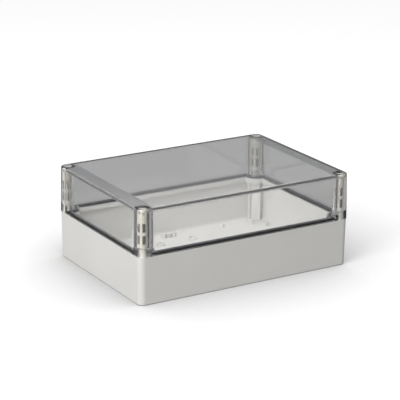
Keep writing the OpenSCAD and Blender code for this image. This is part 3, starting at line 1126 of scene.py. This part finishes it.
    def _corner_cuts(self) -> list[BMesh]:
        """Model what is cut out of the corners.

        Returns:
            The bush seats, the screws' channels, the wall-mounting holes and their countersinks.
        """
        seats, channels, holes, sinks = (bmesh.new() for _ in range(4))
        rim_z, floor_z = self.layout.rim_z, self.channel_floor_t
        for corner in Corner:
            centre = self.layout.screw(corner)
            bush_h = self.front_bush_h if corner.is_front else self.rear_bush_h
            add_rod(seats, centre, self.bush_r, rim_z - bush_h, rim_z + 3 * PAST)
            add_rod(channels, centre, self.channel_r, floor_z, rim_z)
            add_rod(holes, centre, self.hole_r, -PAST, floor_z + PAST)
            add_rod(sinks, centre, self.hole_r, floor_z - self.countersink_h, floor_z + self.sink_step,
                    self.hole_r + self.countersink_h)
        return [seats, channels, holes, sinks]


@dataclass
class Cover:
    """The clear moulded cover and the gasket in its groove."""

    layout: Layout
    finishes: Finishes
    wall: float = 3.0
    top_t: float = 3.0
    draft: float = 0.8
    corner_r: float = 7.0
    top_edge_r: float = 1.8
    top_fillet: float = 1.5
    tower_fillet: float = 2.5
    roof_t: float = 0.5
    bond: float = 0.03
    tower_r: float = 7.7
    bore_r: float = 5.7
    neck_bore_r: float = 3.5
    tower_floor_t: float = 9.0
    collar_r: float = 4.7
    collar_h: float = 2.1
    vault_steps: int = 8
    edge_r: float = 0.25
    seal_edge_r: float = 0.4
    seal_edge_steps: int = 3

    def build(self) -> None:
        """Model the cover and its gasket and tie them to the frame."""
        lay, route = self.layout, self.layout.route()
        shell = Workpiece("clear_cover", DraftedBox(
            lay.half_x, lay.half_y, lay.cover_z, lay.top_z, self.corner_r,
            high_edge_r=self.top_edge_r, high_lean=self.draft).mesh())
        shell.carve(Carve.CUT, self._hollow())
        shell.carve(Carve.CUT, route.slab(route.inner, lay.cover_z - 2 * PAST,
                                          lay.gasket_top_z + self.roof_t + LAP))
        shell.carve(Carve.CUT, route.band(self.bond, route.gasket_w - self.bond,
                                          lay.cover_z - PAST, lay.gasket_top_z - self.bond))
        for tool in self._corner_cuts():
            shell.carve(Carve.CUT, tool)
        dress(shell.finish(self.finishes.clear, self.edge_r),
              "cover", "clear_polycarbonate", "cover_shell")
        seal = Workpiece("foam_gasket", route.band(0.0, route.gasket_w, lay.gasket_z, lay.gasket_top_z))
        dress(seal.finish(self.finishes.foam, self.seal_edge_r, self.seal_edge_steps),
              "cover", "black_foam", "gasket")

    def _hollow(self) -> BMesh:
        """Model the space under the top plate, less the towers that stand in it.

        Returns:
            The space as a closed solid.
        """
        lay = self.layout
        low, high = lay.gasket_top_z + self.roof_t, lay.top_z - self.top_t
        half_x, half_y = lay.half_x - self.wall, lay.half_y - self.wall
        hollow = Workpiece("hollow", self._vault(half_x, half_y, low, high, 0))
        hollow.carve(Carve.KEEP, self._vault(half_x, half_y, low, high, 1))
        hollow.carve(Carve.CUT, lay.towers(self.tower_r, low - PAST, high + PAST))
        hollow.carve(Carve.CUT, self._fillets(half_x, half_y, low - PAST, high + PAST))
        return hollow.take()

    def _fillets(self, half_x: float, half_y: float, low: float, high: float) -> BMesh:
        """Model the upright fillets where the towers meet the walls.

        Args:
            half_x: Half the length of the space inside the walls.
            half_y: Half its depth.
            low: Height of their foot.
            high: Height of their top.

        Returns:
            The fillets, with the towers' corners behind them, as closed solids.
        """
        lay, fillet = self.layout, self.tower_fillet
        prisms, rods = bmesh.new(), bmesh.new()
        arm = self.tower_r + fillet
        wall_x, wall_y = half_x - self.draft / 2, half_y - self.draft / 2
        near_x, near_y = wall_x - fillet, wall_y - fillet
        far_x = lay.screw_x - math.sqrt(arm ** 2 - (near_y - lay.screw_y) ** 2)
        far_y = lay.screw_y - math.sqrt(arm ** 2 - (near_x - lay.screw_x) ** 2)
        out_x, out_y = lay.half_x + PAST, lay.half_y + PAST
        x, y = lay.screw_x, lay.screw_y
        outlines = (((far_x, near_y), (x, y), (x, out_y), (far_x, out_y)),
                    ((near_x, far_y), (out_x, far_y), (out_x, y), (x, y)))
        for corner in Corner:
            for outline in outlines:
                placed = [(corner.value[0] * px, corner.value[1] * py) for px, py in outline]
                add_prism(prisms, placed, low, high)
                add_rod(rods, placed[0], fillet, low - PAST, high + PAST, segments=Faces.RING)
        bmesh.ops.recalc_face_normals(prisms, faces=prisms.faces[:])
        return Workpiece("fillets", prisms).carve(Carve.CUT, rods).take()

    def _vault(self, half_x: float, half_y: float, low: float, high: float, across: int) -> BMesh:
        """Model a leaning block with a fillet along its two upper edges on one pair of sides.

        Args:
            half_x: Half its length at the foot.
            half_y: Half its depth at the foot.
            low: Height of its foot.
            high: Height of its top.
            across: 0 to round the edges that run along Y, 1 for those along X.

        Returns:
            A closed mesh.
        """
        bm = bmesh.new()
        add_block(bm, (-half_x, -half_y, low), (half_x, half_y, high))
        edges = [e for e in bm.edges
                 if all(v.co.z > high - TOUCH for v in e.verts)
                 and abs(e.verts[0].co[across] - e.verts[1].co[across]) < TOUCH]
        bevel_edges(bm, edges, self.top_fillet, self.vault_steps)
        for vert in bm.verts:
            lean = self.draft * (vert.co.z - low) / (high - low)
            vert.co.x *= 1.0 - lean / half_x
            vert.co.y *= 1.0 - lean / half_y
        return bm

    def _corner_cuts(self) -> list[BMesh]:
        """Model what is cut out of the towers.

        Returns:
            The barrel bores, the neck bores and the seats of the rear collars.
        """
        lay = self.layout
        floor_z = lay.rim_z + self.tower_floor_t
        bores, necks, seats = (bmesh.new() for _ in range(3))
        for corner in Corner:
            centre = lay.screw(corner)
            add_rod(bores, centre, self.bore_r, floor_z, lay.top_z + PAST, segments=Faces.BARREL)
            add_rod(necks, centre, self.neck_bore_r, lay.cover_z - PAST, floor_z + PAST)
            if not corner.is_front:
                add_rod(seats, centre, self.collar_r, floor_z - self.collar_h, floor_z + PAST)
        return [bores, necks, seats]


@dataclass
class CornerScrew:
    """A corner screw: a solid notched head, and a hollow shank with two rows of windows round a core."""

    layout: Layout
    finishes: Finishes
    corner: Corner
    radius: float = 5.35
    head_h: float = 13.0
    mid_disc_t: float = 3.5
    foot_disc_t: float = 3.8
    window_count: int = 6
    window_w: float = 3.0
    window_turn_deg: float = 12.0
    window_step: float = 0.02
    shell_t: float = 1.2
    core_r: float = 2.1
    slot_w: float = 1.6
    slot_depth: float = 2.5
    notch_count: int = 8
    notch_w: float = 1.3
    notch_h: float = 2.4
    notch_depth: float = 0.8
    notch_drop: float = 1.4
    neck_r: float = 3.4
    spigot_r: float = 2.2
    tip_lead_h: float = 2.0
    boss_r: float = 3.5
    boss_h: float = 16.2
    journal_bore_r: float = 2.2
    journal_bore_h: float = 13.2
    bead_bore_r: float = 2.5
    bead_h: float = 1.4
    edge_r: float = 0.18

    def build(self) -> None:
        """Model the screw and tie it to the frame."""
        lay = self.layout
        barrel = bmesh.new()
        add_rod(barrel, AXIS, self.radius, lay.barrel_z, lay.barrel_top_z, segments=Faces.BARREL)
        screw = Workpiece(f"{self.corner.label}_polyamide_screw", barrel)
        for tool in self._pockets():
            screw.carve(Carve.CUT, tool)
        screw.carve(Carve.CUT, self._head_cuts())
        if self.corner.is_front:
            screw.carve(Carve.ADD, self._neck())
            body, node = f"{self.corner.label}_screw", f"{self.corner.label}_cover_screw"
        else:
            boss, bore = self._boss()
            screw.carve(Carve.ADD, boss).carve(Carve.CUT, bore)
            body, node = f"{self.corner.label}_barrel", f"{self.corner.label}_screw_barrel"
        screw.obj.data.transform(Matrix.Translation((*lay.screw(self.corner), 0.0)))
        dress(screw.finish(self.finishes.polyamide, self.edge_r), body, "cream_polyamide", node)

    def _pockets(self) -> list[BMesh]:
        """Model what is cut out of the shank.

        Returns:
            The hollows round the core, one in each row, and the windows that open into them.
        """
        lay = self.layout
        row_h = (lay.barrel_top_z - lay.barrel_z - self.head_h - self.mid_disc_t - self.foot_disc_t) / 2
        low_row = lay.barrel_z + self.foot_disc_t
        inner_r, half_w = self.radius - self.shell_t, self.window_w / 2
        rods, windows, core = bmesh.new(), bmesh.new(), bmesh.new()
        for low_z in (low_row, low_row + row_h + self.mid_disc_t):
            add_rod(rods, AXIS, inner_r, low_z, low_z + row_h)
            for i in range(self.window_count):
                turn = math.radians(self.window_turn_deg + i * 360 / self.window_count)
                add_block(windows, (self.window_w, -half_w, low_z + self.window_step),
                          (self.radius + PAST, half_w, low_z + row_h - self.window_step), turn)
        add_rod(core, AXIS, self.core_r, lay.barrel_z, lay.barrel_top_z)
        hollows = Workpiece("hollows", rods).carve(Carve.CUT, core).take()
        return [hollows, windows]

    def _head_cuts(self) -> BMesh:
        """Model the driver slot and the notches round the head.

        Returns:
            The tools as closed solids.
        """
        bm = bmesh.new()
        top, out = self.layout.barrel_top_z, self.radius + PAST
        add_block(bm, (-out, -self.slot_w / 2, top - self.slot_depth),
                  (out, self.slot_w / 2, top + PAST))
        notch_top = top - self.notch_drop
        for i in range(self.notch_count):
            turn = (i + 0.5) * 2 * math.pi / self.notch_count
            add_block(bm, (self.radius - self.notch_depth, -self.notch_w / 2, notch_top - self.notch_h),
                      (out, self.notch_w / 2, notch_top), turn)
        return bm

    def _neck(self) -> BMesh:
        """Model the neck and the spigot that carries the bayonet tip.

        Returns:
            Both as one closed solid.
        """
        low, high = box_mm(f"{self.corner.label}_bayonet_tip")
        bm = bmesh.new()
        add_rod(bm, AXIS, self.neck_r, high.z, self.layout.barrel_z + LAP)
        neck = Workpiece("neck", bm)
        spigot = bmesh.new()
        add_rod(spigot, AXIS, self.spigot_r, low.z + self.tip_lead_h, high.z + LAP)
        return neck.carve(Carve.ADD, spigot).take()

    def _boss(self) -> tuple[BMesh, BMesh]:
        """Model the inside of a rear barrel's foot.

        Returns:
            The boss, and the bore in it for the stem's journal.
        """
        foot = self.layout.barrel_z
        boss = bmesh.new()
        add_rod(boss, AXIS, self.boss_r, foot, foot + self.boss_h)
        rod = bmesh.new()
        add_rod(rod, AXIS, self.journal_bore_r, foot - PAST, foot + self.journal_bore_h)
        bore = Workpiece("bore", rod)
        groove = bmesh.new()
        add_rod(groove, AXIS, self.bead_bore_r, foot + self.journal_bore_h - self.bead_h,
                foot + self.journal_bore_h)
        return boss, bore.carve(Carve.ADD, groove).take()


@dataclass
class HiddenHardware:
    """The frame's own small solids, dressed as they are: hinge parts, bushes and bayonet tips."""

    finishes: Finishes

    def build(self) -> None:
        """Give each remaining solid its finish."""
        kinds = (("bayonet_tip", self.finishes.brass), ("hinge_pin", self.finishes.steel),
                 ("hinge_stem", self.finishes.polyamide), ("hinge_anchor", self.finishes.polyamide),
                 ("bush", self.finishes.polyamide))
        for name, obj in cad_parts.items():
            for ending, material in kinds:
                if name.endswith(ending):
                    obj.data.materials.clear()
                    obj.data.materials.append(material)
                    LOG.info("%s dressed in %s", name, material.name)


# ---- the studio ---------------------------------------------------------------------------------------


@dataclass(frozen=True)
class Lamp:
    """A soft square lamp that looks at the object, in metres and watts."""

    name: str
    place: tuple[float, float, float]
    size: float
    power: float
    aim: tuple[float, float, float] = (0.0, 0.0, 0.05)

    def hang(self) -> None:
        """Hang the lamp."""
        light = bpy.data.lights.new(self.name, "AREA")
        light.size = self.size
        light.energy = self.power
        lamp = bpy.data.objects.new(self.name, light)
        lamp.location = self.place
        lamp.rotation_euler = (Vector(self.aim) - lamp.location).to_track_quat("-Z", "Y").to_euler()
        bpy.context.scene.collection.objects.link(lamp)


@dataclass
class Studio:
    """A pale floor, soft lamps and the camera."""

    azimuth_deg: float = -31.04
    elevation_deg: float = 18.06
    distance: float = 1.9006
    aim_right: float = -0.00335
    aim_up: float = 0.0639
    lens_mm: float = 158.2
    roll_deg: float = 0.445
    camera_reach: float = 50.0
    floor_size: float = 12.0
    floor_drop: float = 0.0002
    paper: float = 0.4
    paper_glow: float = 0.69
    paper_mirrored: float = 0.06
    shade_reach: float = 0.37
    shade_power: float = 1.85
    shade_samples: int = 16
    room: float = 0.35
    room_mirrored: float = 0.42
    room_seen: float = 1.0
    lamps: tuple[Lamp, ...] = (Lamp("key", (-1.9, -0.75, 1.2), 1.2, 46.0),
                               Lamp("top", (0.2, -0.4, 2.2), 1.6, 24.0))

    def build(self) -> None:
        """Make everything that isn't the object."""
        self._floor()
        self._world()
        for lamp in self.lamps:
            lamp.hang()
        self._camera()

    def _floor(self) -> None:
        """Lay the floor."""
        bm = bmesh.new()
        bmesh.ops.create_grid(bm, x_segments=1, y_segments=1, size=self.floor_size / 2,
                              matrix=Matrix.Translation((0.0, 0.0, -self.floor_drop)))
        mesh = bpy.data.meshes.new("floor")
        bm.to_mesh(mesh)
        bm.free()
        mesh.materials.append(self._white_paper())
        floor = bpy.data.objects.new("floor", mesh)
        bpy.context.scene.collection.objects.link(floor)

    def _white_paper(self) -> Material:
        """Build matt paper: it keeps the lamps' shadow, and glows white to the camera, with a painted
        shadow near the object.

        Returns:
            The material.
        """
        made = blank_material("white paper")
        paper = add_node(made, "ShaderNodeBsdfDiffuse", {"Color": (*[self.paper] * 3, 1.0)})
        rays = add_node(made, "ShaderNodeLightPath")
        # Painted shadow: ambient occlusion darkens the camera-only glow near the object.
        near = add_node(made, "ShaderNodeAmbientOcclusion", {"Distance": self.shade_reach},
                        samples=self.shade_samples)
        shade = add_node(made, "ShaderNodeMath", {0: near.outputs["AO"], 1: self.shade_power},
                         operation="POWER")
        lift = add_node(made, "ShaderNodeMath", {0: rays.outputs["Is Camera Ray"], 1: self.paper_glow},
                        operation="MULTIPLY")
        white = add_node(made, "ShaderNodeMath", {0: lift, 1: shade}, operation="MULTIPLY")
        glow = add_node(made, "ShaderNodeEmission", {"Strength": white})
        both = add_node(made, "ShaderNodeAddShader", {0: paper, 1: glow})
        dim = add_node(made, "ShaderNodeEmission", {"Strength": self.paper_mirrored})
        mirrored = add_node(made, "ShaderNodeMath", {
            0: rays.outputs["Is Glossy Ray"], 1: rays.outputs["Is Reflection Ray"]},
            operation="MULTIPLY")
        seen = add_node(made, "ShaderNodeMixShader", {"Fac": mirrored, 1: both, 2: dim})
        return show(made, Surface=seen)

    def _world(self) -> None:
        """Fill the room with even light, white to the camera."""
        world = bpy.data.worlds.new("room")
        world.use_nodes = True
        world.node_tree.nodes.clear()
        white = srgb("#FFFFFF")
        rays = add_node(world, "ShaderNodeLightPath")
        light = add_node(world, "ShaderNodeBackground", {"Color": white, "Strength": self.room})
        for ray, strength in (("Is Glossy Ray", self.room_mirrored), ("Is Camera Ray", self.room_seen)):
            shown = add_node(world, "ShaderNodeBackground", {"Color": white, "Strength": strength})
            light = add_node(world, "ShaderNodeMixShader", {
                "Fac": rays.outputs[ray], 1: light, 2: shown})
        add_node(world, "ShaderNodeOutputWorld", {"Surface": light})
        bpy.context.scene.world = world

    def _camera(self) -> None:
        """Set the camera."""
        azimuth, elevation = math.radians(self.azimuth_deg), math.radians(self.elevation_deg)
        back = Vector((math.sin(azimuth) * math.cos(elevation), -math.cos(azimuth) * math.cos(elevation),
                       math.sin(elevation)))
        right = Vector((math.cos(azimuth), math.sin(azimuth), 0.0))
        up = back.cross(right)
        data = bpy.data.cameras.new("camera")
        data.lens = self.lens_mm
        data.clip_end = self.camera_reach
        camera = bpy.data.objects.new("camera", data)
        camera.rotation_mode = "QUATERNION"
        roll = Matrix.Rotation(math.radians(self.roll_deg), 3, "Z")
        camera.rotation_quaternion = (Matrix((right, up, back)).transposed() @ roll).to_quaternion()
        camera.location = back * self.distance + right * self.aim_right + up * self.aim_up
        bpy.context.scene.collection.objects.link(camera)
        bpy.context.scene.camera = camera


def main() -> None:
    """Build the enclosure and the studio."""
    logging.basicConfig(level=logging.INFO, format="%(message)s")
    bpy.context.scene.view_settings.view_transform = "Standard"
    finishes = Finishes()
    layout = Layout.measure(Base.tongue_h)
    Base(layout, finishes).build()
    Cover(layout, finishes).build()
    for corner in Corner:
        CornerScrew(layout, finishes, corner).build()
    HiddenHardware(finishes).build()
    Studio().build()


if __name__ == "__main__":
    main()
